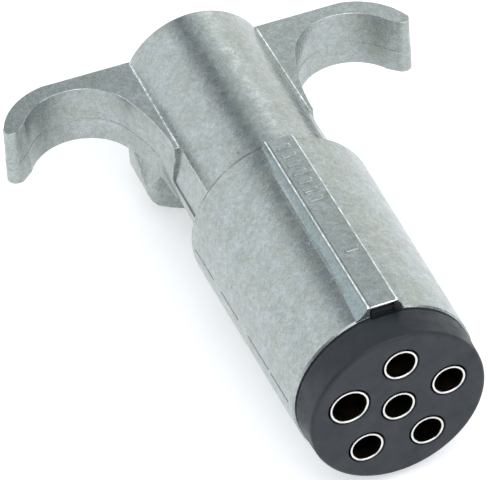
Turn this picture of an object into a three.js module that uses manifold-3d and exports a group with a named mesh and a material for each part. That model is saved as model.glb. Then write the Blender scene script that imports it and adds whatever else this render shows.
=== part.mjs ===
// A six-way round trailer wiring plug: a die-cast shell with finger wings, a moulded core with six
// socket terminals, and a cable clamp under the neck. Millimetres, +Z up, the plug face towards -Y.
import * as THREE from "three";
import { mergeVertices } from "three/addons/utils/BufferGeometryUtils.js";
import Module from "manifold-3d";

const wasm = await Module();
wasm.setup();

// ---- Driving dimensions. Y runs along the plug axis from the front rim of the shell (0) to the back. ----
const GAP = 0.3; // running clearance between separate pieces
const BARREL_RADIUS = 16; // at the front rim: a 32 mm (1-1/4 in) plug
const BARREL_REAR_RADIUS = 16.84;
const BARREL_LENGTH = 44.6;
const NECK_RADIUS = 13.9;
const NECK_START = 47.6;
const REAR_FACE = 87.8;
const CORE_BORE_RADIUS = 14.6;
const CORE_SEAT = 26; // the step in the bore that the core is pushed against
const CHAMBER_RADIUS = 13.6;
const CHAMBER_END = 43;
const CABLE_BORE_RADIUS = 9.6;
const CABLE_BORE_START = 46;

const KEY_HALF_WIDTH = 2.55; // the key rib on top of the barrel
const KEY_TOP = 17.8;
const KEY_LIP = { width: 0.5, height: 0.25, slope: 0.1 }; // the raised edges of its top
const KEY_FLANK = [[3.15, 16.7], [4.2, 15.75], [5.9, 14.9]]; // from its top edge down to the barrel
const KEY_DEPTH = 11; // it is drawn from this height, inside the barrel's wall
const KEYWAY_HALF_WIDTH = 1.9;
const KEYWAY_TOP = 16.9;
const KEYWAY_LENGTH = 15;

const WING_TOP = 6.7; // the finger wings
const WING_BOTTOM = -4.6;
const WING_BACK_ARC = { x: 27, y: 75.4, radius: 12.4, end: 0.33 };
const WING_TIP = { x: 37.7, y: 78.7, radius: 1.75 };
const WING_HOOK = { x: 26, y: 74.3, radius: 10.2, start: 0.5, end: 2.9 };
const WING_ROOT = { x: 13.5, y: 61.2 }; // where the web leaves the neck
const WING_WEB = [13.6, 67.2, 14.4, 72.2]; // the two control points between the root and the hook
const WING_TIP_TURN = { start: 0.75, end: 0.45 }; // how far past a half turn the tip's arc starts and ends
const FLAT_TOP = { x: 12.1, z: 6.9 }; // drafted flats on the sides of the neck
const FLAT_BOTTOM = { x: 13.65, z: -0.3 };
const FLAT_OUTSIDE = 20; // any distance clear of the neck

const CORE_RADIUS = CORE_BORE_RADIUS - GAP;
const CORE_FACE = -6.1;
const CORE_FACE_RADIUS = 15.4;
const CORE_RIM_RADIUS = 15.7;
const CORE_EDGE = 0.4; // the chamfer round the face
const CORE_BACK = CORE_SEAT - GAP;

const CORE_KEY = { halfWidth: 1.5, headHalfWidth: 2.2, headLength: 1, bottom: 11, clearance: 0.35 };

const SOCKET_CIRCLE = 9.15;
const SOCKET_WALL = 0.38;
const SOCKET_DEPTH = 20;
const SOCKETS = [
  { name: "centre", radius: 2.85, circle: 0, step: 2.5 },
  { name: "top", radius: 2.93, circle: SOCKET_CIRCLE, step: 0 },
  { name: "right_upper", radius: 2.93, circle: SOCKET_CIRCLE, step: 1 },
  { name: "right_lower", radius: 2.93, circle: SOCKET_CIRCLE, step: 2 },
  { name: "left_lower", radius: 2.93, circle: SOCKET_CIRCLE, step: 3 },
  { name: "ground", radius: 3.38, circle: SOCKET_CIRCLE, step: 4 },
]; // step counts fifths of a turn from the key, and is also where the binding screw points
const SOCKET_TWIST = 3; // degrees that the circle of sockets is turned from the key
const COLLAR_RADIUS = 3.55;
const COLLAR_LENGTH = 1.4;
const WIRE_BARREL_RADIUS = 3.3;
const WIRE_HOLE_RADIUS = 1.9;
const WIRE_HOLE_DEPTH = 9;
const TERMINAL_END = 38;
const BINDING_Y = 33.5;
const BINDING_RADIUS = 1.2;
const BINDING_LENGTH = 2.1;
const BINDING_SLOT = { width: 0.5, depth: 0.7 };

const LINER_OUTER = CHAMBER_RADIUS - GAP;
const LINER_THICKNESS = 0.45;

const RETAINER_Y = 12; // the countersunk screw that holds the core
const RETAINER_RADIUS = 1.5;
const RETAINER_HEAD_RADIUS = 2.7;
const RETAINER_HEAD_HEIGHT = 1.3;
const RETAINER_TIP = -10.6;
const RETAINER_SINK = 0.1; // how far the head lies below the barrel's surface
const RETAINER_SLOT = { width: 0.6, depth: 0.8 };

const CLAMP_FRONT = 69.1; // the clamp cap under the neck
const CLAMP_BACK = 80.5;
const CLAMP_HALF_WIDTH = 16.1;
const CLAMP_CORNER = { front: 2, back: 0.8 };
const CLAMP_SIDE = [[16.1, -9.9], [15.6, -11.2], [14.75, -12.1], [12.5, -13.4], [9.9, -14.6], [7.4, -15.9]];
const CLAMP_FOOT_HALF_WIDTH = 5.4; // the flat underside
const CLAMP_DRAWN_DEPTH = 30;
const CLAMP_SCREW = { x: 12.1, y: 74.8, radius: 1.5, tip: 3 };
const CLAMP_SPOTFACE = -10.8;
const CLAMP_HEAD_RADIUS = 2.5;
const CLAMP_HEAD_HEIGHT = 1.9;
const CLAMP_SLOT = { width: 0.7, depth: 0.9 };
const WASHER_THICKNESS = 0.6;

const GROMMET_RADIUS = CABLE_BORE_RADIUS - GAP;
const GROMMET_HOLE_RADIUS = 4.5;
const GROMMET_FRONT = 64;
const GROMMET_BACK = 87;

const ROUND = 64; // facets round the big diameters
const SMALL_ROUND = 24; // round the small ones
const HOLE_ROUND = 16; // and round the core's socket holes

// ---- Making and combining closed shapes ----

// A closed geometry as a solid, turned to face out.
function solid(geometry) {
  const bare = geometry.index ? geometry.toNonIndexed() : geometry.clone();
  bare.deleteAttribute("normal");
  bare.deleteAttribute("uv");
  const merged = mergeVertices(bare, 1e-4);
  const build = (triVerts) =>
    new wasm.Manifold(new wasm.Mesh({ numProp: 3, vertProperties: merged.attributes.position.array, triVerts }));
  const triangles = new Uint32Array(merged.index.array);
  const made = build(triangles);
  return made.volume() < 0 ? build(triangles.reverse()) : made;
}

function geometryOf(shape) {
  const mesh = shape.getMesh();
  const geometry = new THREE.BufferGeometry();
  geometry.setAttribute("position", new THREE.BufferAttribute(mesh.vertProperties, 3));
  geometry.setIndex(new THREE.BufferAttribute(mesh.triVerts, 1));
  geometry.computeVertexNormals();
  return geometry;
}

function union(...shapes) {
  return shapes.reduce((sum, shape) => sum.add(shape));
}

// A body of revolution about the plug axis from [radius, y] points.
function turned(profile, segments = ROUND) {
  return solid(turnedGeometry(profile, segments));
}

function turnedGeometry(profile, segments) {
  return new THREE.LatheGeometry(profile.map(([r, y]) => new THREE.Vector2(r, y)), segments);
}

// A round bar along the plug axis, with its centre line at (x, z).
function bar(radius, from, to, x = 0, z = 0, segments = SMALL_ROUND) {
  const geometry = turnedGeometry([[0, from], [radius, from], [radius, to], [0, to]], segments);
  return solid(geometry.translate(x, 0, z));
}

// A round bar standing along Z at (x, y).
function post(radius, bottom, top, x, y, topRadius = radius) {
  const geometry = new THREE.CylinderGeometry(topRadius, radius, top - bottom, SMALL_ROUND);
  return solid(geometry.rotateX(Math.PI / 2).translate(x, y, (top + bottom) / 2));
}

function box(x0, x1, y0, y1, z0, z1) {
  const geometry = new THREE.BoxGeometry(x1 - x0, y1 - y0, z1 - z0);
  return solid(geometry.translate((x0 + x1) / 2, (y0 + y1) / 2, (z0 + z1) / 2));
}

// A section drawn in X and Z, drawn out along Y.
function alongAxis(shape, from, to) {
  const geometry = new THREE.ExtrudeGeometry(shape, { depth: to - from, bevelEnabled: false, curveSegments: 10 });
  return solid(geometry.rotateX(Math.PI / 2).translate(0, to, 0));
}

function outline(points) {
  return new THREE.Shape(points.map(([a, b]) => new THREE.Vector2(a, b)));
}

// Half an outline (x >= 0) and its mirror image, as one closed outline.
function mirrored(half) {
  return outline([...half, ...half.map(([a, b]) => [-a, b]).reverse()]);
}

// ---- The shell ----

function shellBody() {
  return turned([
    [0, 0], [BARREL_RADIUS - 0.35, 0], [BARREL_RADIUS, 0.35],
    [BARREL_REAR_RADIUS, BARREL_LENGTH - 0.6], [BARREL_REAR_RADIUS - 0.25, BARREL_LENGTH + 0.3],
    [BARREL_REAR_RADIUS - 0.8, BARREL_LENGTH + 0.8], [NECK_RADIUS, NECK_START],
    [NECK_RADIUS, REAR_FACE - 0.4], [NECK_RADIUS - 0.4, REAR_FACE], [0, REAR_FACE],
  ]);
}

function keyRib() {
  const lipInside = KEY_HALF_WIDTH - KEY_LIP.width;
  const foot = KEY_FLANK.at(-1)[0];
  const section = mirrored([
    [lipInside, KEY_TOP - KEY_LIP.height], [lipInside + KEY_LIP.slope, KEY_TOP],
    [KEY_HALF_WIDTH, KEY_TOP], ...KEY_FLANK, [foot, KEY_DEPTH],
  ]);
  return alongAxis(section, 0, BARREL_LENGTH);
}

function wing(side) {
  const { x, y } = WING_ROOT;
  const shape = new THREE.Shape();
  shape.moveTo(CABLE_BORE_RADIUS, REAR_FACE);
  shape.lineTo(CABLE_BORE_RADIUS, y);
  shape.lineTo(x, y);
  const hook = WING_HOOK;
  const hookEndX = hook.x + hook.radius * Math.cos(hook.end);
  const hookEndY = hook.y + hook.radius * Math.sin(hook.end);
  shape.bezierCurveTo(...WING_WEB, hookEndX, hookEndY);
  shape.absarc(hook.x, hook.y, hook.radius, hook.end, hook.start, true);
  const { start, end } = WING_TIP_TURN;
  shape.absarc(WING_TIP.x, WING_TIP.y, WING_TIP.radius, Math.PI + start, 2 * Math.PI + end, false);
  shape.absarc(WING_BACK_ARC.x, WING_BACK_ARC.y, WING_BACK_ARC.radius, WING_BACK_ARC.end, Math.PI / 2, false);
  const geometry = new THREE.ExtrudeGeometry(shape, {
    depth: WING_TOP - WING_BOTTOM,
    bevelEnabled: false,
    curveSegments: 10,
  });
  return solid(geometry.translate(0, 0, WING_BOTTOM).scale(side, 1, 1));
}

function neckFlat(side) {
  const section = outline([
    [side * FLAT_TOP.x, FLAT_TOP.z], [side * FLAT_BOTTOM.x, FLAT_BOTTOM.z],
    [side * FLAT_OUTSIDE, FLAT_BOTTOM.z], [side * FLAT_OUTSIDE, FLAT_TOP.z],
  ]);
  return alongAxis(section, NECK_START + 0.2, WING_ROOT.y);
}

function shellBores() {
  return union(
    turned([
      [0, -1], [CORE_BORE_RADIUS, -1], [CORE_BORE_RADIUS, CORE_SEAT], [CHAMBER_RADIUS, CORE_SEAT],
      [CHAMBER_RADIUS, CHAMBER_END], [CABLE_BORE_RADIUS, CABLE_BORE_START],
      [CABLE_BORE_RADIUS, REAR_FACE + 1], [0, REAR_FACE + 1],
    ]),
    box(-KEYWAY_HALF_WIDTH, KEYWAY_HALF_WIDTH, -1, KEYWAY_LENGTH, CORE_BORE_RADIUS - 3, KEYWAY_TOP),
  );
}

// The hole for the core's retaining screw, with its countersink.
function retainerHole() {
  const surface = -barrelRadiusAt(RETAINER_Y);
  const top = surface + RETAINER_HEAD_HEIGHT + GAP;
  return union(
    post(RETAINER_RADIUS + GAP, surface - 1, RETAINER_TIP + GAP, 0, RETAINER_Y),
    post(RETAINER_HEAD_RADIUS + GAP, surface, top, 0, RETAINER_Y, RETAINER_RADIUS + GAP),
    post(RETAINER_HEAD_RADIUS + GAP, surface - 1, surface, 0, RETAINER_Y),
  );
}

function barrelRadiusAt(y) {
  return BARREL_RADIUS + ((BARREL_REAR_RADIUS - BARREL_RADIUS) * y) / BARREL_LENGTH;
}

function shell() {
  let made = union(shellBody(), keyRib(), wing(1), wing(-1));
  made = made.subtract(neckFlat(1)).subtract(neckFlat(-1));
  made = made.subtract(shellBores()).subtract(retainerHole());
  made = made.subtract(box(-20, 20, CLAMP_FRONT - GAP, CLAMP_BACK + GAP, -20, WING_BOTTOM));
  for (const side of [-1, 1])
    made = made.subtract(
      post(CLAMP_SCREW.radius + GAP, -20, CLAMP_SCREW.tip + 1, side * CLAMP_SCREW.x, CLAMP_SCREW.y),
    );
  return made;
}

// ---- The moulded core and its terminals ----

function place({ circle, step }) {
  const angle = THREE.MathUtils.degToRad(SOCKET_TWIST + 72 * step);
  return { x: circle * Math.sin(angle), z: circle * Math.cos(angle), angle };
}

function core() {
  const body = turned([
    [0, CORE_FACE], [CORE_FACE_RADIUS - CORE_EDGE, CORE_FACE], [CORE_FACE_RADIUS, CORE_FACE + CORE_EDGE],
    [CORE_RIM_RADIUS, -GAP], [CORE_RADIUS, -GAP], [CORE_RADIUS, CORE_BACK], [0, CORE_BACK],
  ]);
  const { halfWidth, headHalfWidth, headLength, bottom, clearance } = CORE_KEY;
  const keyStart = -GAP - headLength;
  const key = box(-halfWidth, halfWidth, keyStart, KEYWAY_LENGTH - 1, bottom, KEYWAY_TOP - clearance);
  const keyHead = box(-headHalfWidth, headHalfWidth, keyStart, -GAP, bottom, KEYWAY_TOP);
  let made = union(body, key, keyHead);
  for (const socket of SOCKETS) {
    const { x, z } = place(socket);
    made = made.subtract(bar(socket.radius + GAP, CORE_FACE - 1, CORE_BACK + 1, x, z, HOLE_ROUND));
  }
  return made.subtract(post(RETAINER_RADIUS + GAP, -20, RETAINER_TIP + GAP, 0, RETAINER_Y));
}

// A terminal: a socket tube in front, a collar behind the core, and a barrel for the wire.
function terminal(radius) {
  const collarStart = CORE_BACK + GAP;
  const tube = turned([
    [0, CORE_FACE + SOCKET_DEPTH], [radius - SOCKET_WALL, CORE_FACE + SOCKET_DEPTH],
    [radius - SOCKET_WALL, CORE_FACE + 0.2], [radius - SOCKET_WALL / 2, CORE_FACE], [radius, CORE_FACE + 0.15],
    [radius, collarStart], [COLLAR_RADIUS, collarStart], [COLLAR_RADIUS, collarStart + COLLAR_LENGTH],
    [WIRE_BARREL_RADIUS, collarStart + COLLAR_LENGTH], [WIRE_BARREL_RADIUS, TERMINAL_END],
    [WIRE_HOLE_RADIUS, TERMINAL_END], [WIRE_HOLE_RADIUS, TERMINAL_END - WIRE_HOLE_DEPTH],
    [0, TERMINAL_END - WIRE_HOLE_DEPTH],
  ], SMALL_ROUND);
  return tube.subtract(post(BINDING_RADIUS + GAP, 0, WIRE_BARREL_RADIUS + 1, 0, BINDING_Y));
}

// A slotted grub screw that stands along Z, with its slot along Y.
function bindingScrew() {
  const top = WIRE_BARREL_RADIUS;
  const body = post(BINDING_RADIUS, top - BINDING_LENGTH, top, 0, BINDING_Y);
  const { width, depth } = BINDING_SLOT;
  return body.subtract(box(-width / 2, width / 2, BINDING_Y - 2, BINDING_Y + 2, top - depth, top + 1));
}

// The insulating sleeve between the terminals and the metal shell.
function liner() {
  const inner = LINER_OUTER - LINER_THICKNESS;
  const [from, to] = [CORE_SEAT + GAP, CHAMBER_END - GAP];
  return turned([[inner, from], [LINER_OUTER, from], [LINER_OUTER, to], [inner, to], [inner, from]]);
}

function retainerScrew() {
  const surface = -barrelRadiusAt(RETAINER_Y) + RETAINER_SINK;
  const neck = surface + RETAINER_HEAD_HEIGHT;
  const made = union(
    post(RETAINER_HEAD_RADIUS, surface, neck, 0, RETAINER_Y, RETAINER_RADIUS),
    post(RETAINER_RADIUS, neck - 0.1, RETAINER_TIP, 0, RETAINER_Y),
  );
  const { width, depth } = RETAINER_SLOT;
  const half = width / 2;
  return made.subtract(box(-3, 3, RETAINER_Y - half, RETAINER_Y + half, surface - 1, surface + depth));
}

// ---- The cable clamp ----

// The cap's outline from below, with round corners, as a tall block.
function clampPlan() {
  const { front, back } = CLAMP_CORNER;
  const x = CLAMP_HALF_WIDTH;
  const shape = new THREE.Shape();
  shape.absarc(x - back, CLAMP_BACK - back, back, 0, Math.PI / 2, false);
  shape.absarc(back - x, CLAMP_BACK - back, back, Math.PI / 2, Math.PI, false);
  shape.absarc(front - x, CLAMP_FRONT + front, front, Math.PI, 1.5 * Math.PI, false);
  shape.absarc(x - front, CLAMP_FRONT + front, front, 1.5 * Math.PI, 2 * Math.PI, false);
  const depth = CLAMP_DRAWN_DEPTH;
  const geometry = new THREE.ExtrudeGeometry(shape, { depth, bevelEnabled: false, curveSegments: 5 });
  return solid(geometry.translate(0, 0, -depth));
}

function clampCap() {
  const top = WING_BOTTOM - GAP;
  const saddle = GROMMET_RADIUS + GAP;
  const half = [
    [CLAMP_HALF_WIDTH, top], ...CLAMP_SIDE, [CLAMP_FOOT_HALF_WIDTH, -BARREL_REAR_RADIUS],
  ];
  let made = alongAxis(mirrored(half.reverse()), CLAMP_FRONT, CLAMP_BACK).intersect(clampPlan());
  made = made.subtract(bar(saddle, CLAMP_FRONT - 1, CLAMP_BACK + 1, 0, 0, ROUND));
  for (const side of [-1, 1]) {
    const x = side * CLAMP_SCREW.x;
    made = made.subtract(post(CLAMP_SCREW.radius + GAP, -20, 0, x, CLAMP_SCREW.y));
    made = made.subtract(post(CLAMP_HEAD_RADIUS + GAP, -20, CLAMP_SPOTFACE, x, CLAMP_SCREW.y));
  }
  return made;
}

function clampWasher() {
  const hole = CLAMP_SCREW.radius + GAP;
  const top = CLAMP_SPOTFACE - GAP;
  const ring = post(CLAMP_HEAD_RADIUS, top - WASHER_THICKNESS, top, 0, CLAMP_SCREW.y);
  return ring.subtract(post(hole, -20, 0, 0, CLAMP_SCREW.y));
}

function clampScrew() {
  const headTop = CLAMP_SPOTFACE - WASHER_THICKNESS - 2 * GAP;
  const headBottom = headTop - CLAMP_HEAD_HEIGHT;
  const made = union(
    post(CLAMP_HEAD_RADIUS, headBottom, headTop, 0, CLAMP_SCREW.y),
    post(CLAMP_SCREW.radius, headTop - 0.5, CLAMP_SCREW.tip, 0, CLAMP_SCREW.y),
  );
  const { width, depth } = CLAMP_SLOT;
  const [from, to] = [CLAMP_SCREW.y - width / 2, CLAMP_SCREW.y + width / 2];
  return made.subtract(box(-3, 3, from, to, headBottom - 1, headBottom + depth));
}

function grommet() {
  return turned([
    [GROMMET_HOLE_RADIUS, GROMMET_FRONT], [GROMMET_RADIUS, GROMMET_FRONT], [GROMMET_RADIUS, GROMMET_BACK],
    [GROMMET_HOLE_RADIUS, GROMMET_BACK], [GROMMET_HOLE_RADIUS, GROMMET_FRONT],
  ], 40);
}

// ---- The assembly ----

const finishes = {
  castZinc: { color: 0x9ca39f, roughness: 0.42, metalness: 0.85 },
  coreRubber: { color: 0x33383d, roughness: 0.7, metalness: 0 },
  platedBrass: { color: 0xc9c3b0, roughness: 0.25, metalness: 1 },
  zincScrew: { color: 0xb4b8bb, roughness: 0.3, metalness: 1 },
  linerFibre: { color: 0x2a2622, roughness: 0.8, metalness: 0 },
  grommetRubber: { color: 0x1c1d1f, roughness: 0.85, metalness: 0 },
};

const plug = new THREE.Group();
plug.position.set(0, -(REAR_FACE + CORE_FACE) / 2, BARREL_REAR_RADIUS); // stands on its lowest line

function add(name, shape, finish, parent = plug) {
  const mesh = new THREE.Mesh(geometryOf(shape), new THREE.MeshStandardMaterial(finishes[finish]));
  mesh.name = name;
  parent.add(mesh);
  return mesh;
}

add("shell", shell(), "castZinc");
add("core", core(), "coreRubber");
add("chamber_liner", liner(), "linerFibre");
add("core_retaining_screw", retainerScrew(), "zincScrew");
for (const socket of SOCKETS) {
  const { x, z, angle } = place(socket);
  const seat = new THREE.Group();
  seat.position.set(x, 0, z);
  seat.rotation.y = angle; // its screw points away from the plug axis
  plug.add(seat);
  add(`terminal_${socket.name}`, terminal(socket.radius), "platedBrass", seat);
  add(`binding_screw_${socket.name}`, bindingScrew(), "zincScrew", seat);
}
add("clamp_cap", clampCap(), "castZinc");
for (const [side, hand] of [[-1, "left"], [1, "right"]]) {
  add(`clamp_screw_${hand}`, clampScrew(), "zincScrew").position.x = side * CLAMP_SCREW.x;
  add(`clamp_lock_washer_${hand}`, clampWasher(), "zincScrew").position.x = side * CLAMP_SCREW.x;
}
add("cable_grommet", grommet(), "grommetRubber");

export default plug;
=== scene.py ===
"""The looks of a six-way round trailer wiring plug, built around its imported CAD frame."""

import math

import bpy
from mathutils import Matrix, Vector


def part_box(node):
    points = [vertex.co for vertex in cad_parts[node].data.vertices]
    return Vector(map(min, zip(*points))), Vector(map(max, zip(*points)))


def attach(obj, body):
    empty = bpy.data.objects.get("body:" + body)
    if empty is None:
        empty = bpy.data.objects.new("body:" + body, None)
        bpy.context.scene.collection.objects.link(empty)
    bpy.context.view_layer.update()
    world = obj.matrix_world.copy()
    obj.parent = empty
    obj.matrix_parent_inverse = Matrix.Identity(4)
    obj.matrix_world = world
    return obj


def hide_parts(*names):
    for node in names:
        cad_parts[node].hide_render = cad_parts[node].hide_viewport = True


bl_info = {
    "name": "Trailer Plug",
    "version": (1, 0, 0),
    "blender": (4, 5, 0),
    "location": "3D View > Sidebar > Plug",
    "description": "Builds a die-cast trailer wiring plug and the stage it stands on",
    "category": "Object",
}

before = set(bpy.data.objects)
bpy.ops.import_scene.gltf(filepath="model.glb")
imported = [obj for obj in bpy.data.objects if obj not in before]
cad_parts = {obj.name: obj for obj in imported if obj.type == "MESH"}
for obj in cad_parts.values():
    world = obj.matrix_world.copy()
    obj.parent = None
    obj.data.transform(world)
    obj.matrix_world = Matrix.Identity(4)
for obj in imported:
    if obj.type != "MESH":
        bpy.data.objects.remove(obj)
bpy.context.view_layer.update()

MM = 0.001
MERGE_DISTANCE = 0.000004
TURN = 2 * math.pi

# The plug's own millimetres start on its axis, at the shell's front rim: +Y runs back, +Z up to the key.
SOCKET_LOW, SOCKET_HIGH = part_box("terminal_centre")
ORIGIN = Vector((0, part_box("shell")[0].y, (SOCKET_LOW.z + SOCKET_HIGH.z) / 2))


def at(x, y, z):
    """A place given in the plug's millimetres, as metres in the frame."""
    return ORIGIN + Vector((x, y, z)) * MM


def measured(node):
    """The lowest and highest corners of a CAD node, in the plug's millimetres."""
    return [(corner - ORIGIN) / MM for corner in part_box(node)]


REAR = measured("shell")[1].y
TOP = measured("shell")[1].z
FACE = measured("core")[0].y
FOOT = measured("clamp_cap")[0].z

# ---- Sizes of the casting, in millimetres ----
RIM_RADIUS = 16
RIM_CHAMFER = 0.28
BARREL_REAR_RADIUS = 16.84
BARREL_LENGTH = 44.6
NECK_RADIUS = 13.9
NECK_START = 47.6
# Rounded corners of the barrel and the neck, as (outwards, backwards) steps from the sharp corner.
BARREL_BACK = [(0, -0.5), (-0.08, -0.1), (-0.3, 0.25), (-0.7, 0.6)]
NECK_FRONT = [(0.5, -0.45), (0.12, 0), (0, 0.5)]
NECK_BACK = [(0, -0.45), (-0.13, -0.13), (-0.45, 0)]
CORE_BORE = {"radius": 14.6, "depth": 26, "mouth": 0.3, "mouth_depth": 0.4}
CHAMBER = {"radius": 13.6, "depth": 43}
CABLE_BORE = {"radius": 9.6, "start": 46, "mouth": 0.5}
PAST = 2  # how far a cutting tool reaches past what it opens
BELOW = -20  # a height below every piece
RIB_EDGES = {"left": -2.5, "right": 2.75}
RIB_LEFT_FLANK = [(-2.65, 17.1), (-3.0, 16.6), (-3.4, 16.15), (-3.9, 15.75), (-4.5, 15.4), (-4.7, 14)]
RIB_RIGHT_FLANK = [(2.85, 17.0), (3.05, 16.4), (3.4, 15.9), (3.8, 15.4), (3.9, 14)]
RIB_START = 0.02
RIB_LENGTH = BARREL_LENGTH - 0.1
RIB_CHAMFER = 0.17
RIB_WEDGE = {"front": -1, "back": 2, "half_width": 4}
LIP_HEIGHT = 0.28
LIP_EDGE = 0.13
LIP_SLANT = 0.02
# The rib's sunken top dips beside the left lip and rises a little to the right one.
LEFT_GROOVE = {"width": 0.2, "depth": 0.12}
RIGHT_GROOVE = {"width": 0.05, "depth": -0.05}
GROOVE_SLANT = 0.05
BARS = {"left": -1.15, "right": 1.3, "length": 1.1, "starts": (27.2, 29.6, 32.0, 34.4, 36.8, 39.2, 41.6)}
MARK = {"left": -0.5, "right": 1.9, "front": 13.4, "back": 14.5}
BAR_FOOT = 0.4  # how deep the bars are rooted in the rib
BAR_BEVEL = 0.16
KEYWAY = {"half_width": 2.1, "bottom": 10, "top": 17.1, "length": 15}
RIDGES = ((2.2, 9.5), (10.4, 19.0), (23.4, 31.0), (34.2, 42.6))  # where the parting line's ridges run
RIDGE_WIDTH = 0.16
WING_TOP = 6.7
WING_BOTTOM = -4.6
WING_INSIDE = 4  # where a wing ends, inside the neck's wall
WING_STEPS = ((0.12, 4.6), (0.07, 0.02), (0.2, 6.68))  # each step's narrowing and rise, from the underside
HOOK = {"centre": (26, 74.3), "radius": 9.95, "start": 0.5, "end": 2.78, "steps": 40}
TIP = {"centre": (37.7, 78.7), "radius": 1.75, "start": math.pi + 0.75, "end": TURN + 0.45, "steps": 16}
BACK = {"centre": (27, 75.4), "radius": 12.85, "start": 0.33, "end": math.pi / 2, "steps": 24}
WING_SETBACK = 0.15  # how far the wings end in front of the neck's end
ROOT = (13.5, 61.2)
WEB = [(13.5, 67.0), (14.6, 72.3)]
WEB_STEPS = 10
FLAT = [(12.1, 6.9), (13.65, -0.3), (22, -0.3), (22, 6.9)]
FLAT_START = NECK_START + 0.2
SEAM = [(11.9, 6.4), (12.0, 6.68), (12.28, 6.86), (12.6, 6.68), (12.5, 6.4)]
SEAM_INSET = 0.6
WINDOW = {"front": 68.8, "back": 80.8, "half_width": 20}

# Which of the shell's faces take the painted highlights and which the painted shade, by their distance to
# either side of the axis and the way they face.
SLOPE = (0.3, 0.96)  # how far upwards a slope with the painted highlight points, from its least to its most
LIP_ZONE = (2.1, 2.8)
BAR_ZONE = 2
WING_ZONE = {"inside": 12, "depth": 0.3}
FLANK_ZONE = {"inside": 2.5, "outside": 5, "bottom": 14.5, "sideways": 0.35}


class PlugSizes(bpy.types.PropertyGroup):
    """How fine the casting and the small parts are made."""

    edge: bpy.props.FloatProperty(
        name="Casting Edge", description="Width of the casting's bevelled edges",
        default=0.26 * MM, unit="LENGTH", precision=5)
    lip_width: bpy.props.FloatProperty(
        name="Rib Lip", description="Width of the two raised edges on the key rib",
        default=0.32 * MM, unit="LENGTH", precision=5)
    bar_height: bpy.props.FloatProperty(
        name="Raised Bars", description="Height of the plain raised bars on the key rib",
        default=0.26 * MM, unit="LENGTH", precision=5)
    parting: bpy.props.FloatProperty(
        name="Parting Line", description="Height of the thin ridge where the mould's halves met",
        default=0.07 * MM, unit="LENGTH", precision=5)
    thread_pitch: bpy.props.FloatProperty(
        name="Thread Pitch", description="Distance from one screw thread to the next",
        default=0.8 * MM, unit="LENGTH", precision=5)


class PlugColours(bpy.types.PropertyGroup):
    """The finishes' main colours."""

    zinc: bpy.props.FloatVectorProperty(
        name="Zinc", description="The cast metal's clean colour", subtype="COLOR", size=4,
        default=(0.395, 0.43, 0.425, 1))
    zinc_bloom: bpy.props.FloatVectorProperty(
        name="Zinc Bloom", description="The cast metal's paler, cooler patches", subtype="COLOR", size=4,
        default=(0.49, 0.52, 0.56, 1))
    rubber: bpy.props.FloatVectorProperty(
        name="Core", description="The moulded core's colour", subtype="COLOR", size=4,
        default=(0.019, 0.023, 0.029, 1))
    brass: bpy.props.FloatVectorProperty(
        name="Sockets", description="The plated sockets' colour", subtype="COLOR", size=4,
        default=(0.80, 0.79, 0.76, 1))
    steel: bpy.props.FloatVectorProperty(
        name="Screws", description="The zinc-plated screws' colour", subtype="COLOR", size=4,
        default=(0.62, 0.63, 0.64, 1))


# ---- Small modelling helpers ----


def deselect():
    """Leaves edit mode with nothing selected."""
    if bpy.context.object and bpy.context.object.mode != "OBJECT":
        bpy.ops.object.mode_set(mode="OBJECT")
    bpy.ops.object.select_all(action="DESELECT")


def choose(piece):
    """Makes a piece the only one selected, and the active one."""
    deselect()
    piece.select_set(True)
    bpy.context.view_layer.objects.active = piece


def settle(piece, name):
    """Leaves the piece named, at the origin, unturned and unscaled."""
    choose(piece)
    piece.name = name
    bpy.ops.object.transform_apply(location=True, rotation=True, scale=True)
    return piece


def chain(points):
    """A line of vertices through these places, left in edit mode with all of them selected."""
    deselect()
    bpy.ops.mesh.primitive_plane_add(size=MM, location=points[0])
    piece = bpy.context.object
    bpy.ops.object.mode_set(mode="EDIT")
    bpy.ops.mesh.merge(type="CENTER")
    for before, after in zip(points, points[1:]):
        bpy.ops.mesh.extrude_vertices_move(TRANSFORM_OT_translate={"value": after - before})
    bpy.ops.mesh.select_all(action="SELECT")
    return piece


def close_up():
    """Merges doubled vertices and turns every face outwards."""
    bpy.ops.mesh.select_all(action="SELECT")
    bpy.ops.mesh.remove_doubles(threshold=MERGE_DISTANCE)
    bpy.ops.mesh.normals_make_consistent(inside=False)
    bpy.ops.object.mode_set(mode="OBJECT")


def turned(name, profile, centre=(0, 0), along="Y", segments=96):
    """A body of revolution from (radius, distance along) pairs, about a line along Y or Z."""
    if along == "Y":
        x, z = centre
        points = [at(x + radius, y, z) for radius, y in profile]
        middle, axis = at(x, 0, z), (0, 1, 0)
    else:
        x, y = centre
        points = [at(x + radius, y, z) for radius, z in profile]
        middle, axis = at(x, y, 0), (0, 0, 1)
    piece = chain(points)
    bpy.ops.mesh.spin(steps=segments, angle=TURN, center=middle, axis=axis)
    close_up()
    return settle(piece, name)


def ring(name, profile, **options):
    """A body of revolution whose profile closes on itself, away from the axis."""
    return turned(name, [*profile, profile[0]], **options)


def filled(points):
    """One flat face through these places, left in edit mode and selected."""
    piece = chain(points)
    bpy.ops.mesh.edge_face_add()
    return piece


def prism(name, points, direction):
    """A flat outline drawn out along a direction in metres."""
    piece = filled(points)
    bpy.ops.mesh.extrude_region_move(TRANSFORM_OT_translate={"value": direction})
    close_up()
    return settle(piece, name)


def block(name, low, high, bevel=0.0):
    """A box between two corners in the plug's millimetres, with its edges bevelled by that many."""
    deselect()
    low, high = Vector(low), Vector(high)
    bpy.ops.mesh.primitive_cube_add(size=1, location=at(*(low + high) / 2))
    piece = bpy.context.object
    piece.scale = (high - low) * MM
    settle(piece, name)
    if bevel:
        bpy.ops.object.mode_set(mode="EDIT")
        bpy.ops.mesh.select_all(action="SELECT")
        bpy.ops.mesh.bevel(offset=bevel * MM, segments=2, affect="EDGES")
        bpy.ops.object.mode_set(mode="OBJECT")
    return piece


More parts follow.
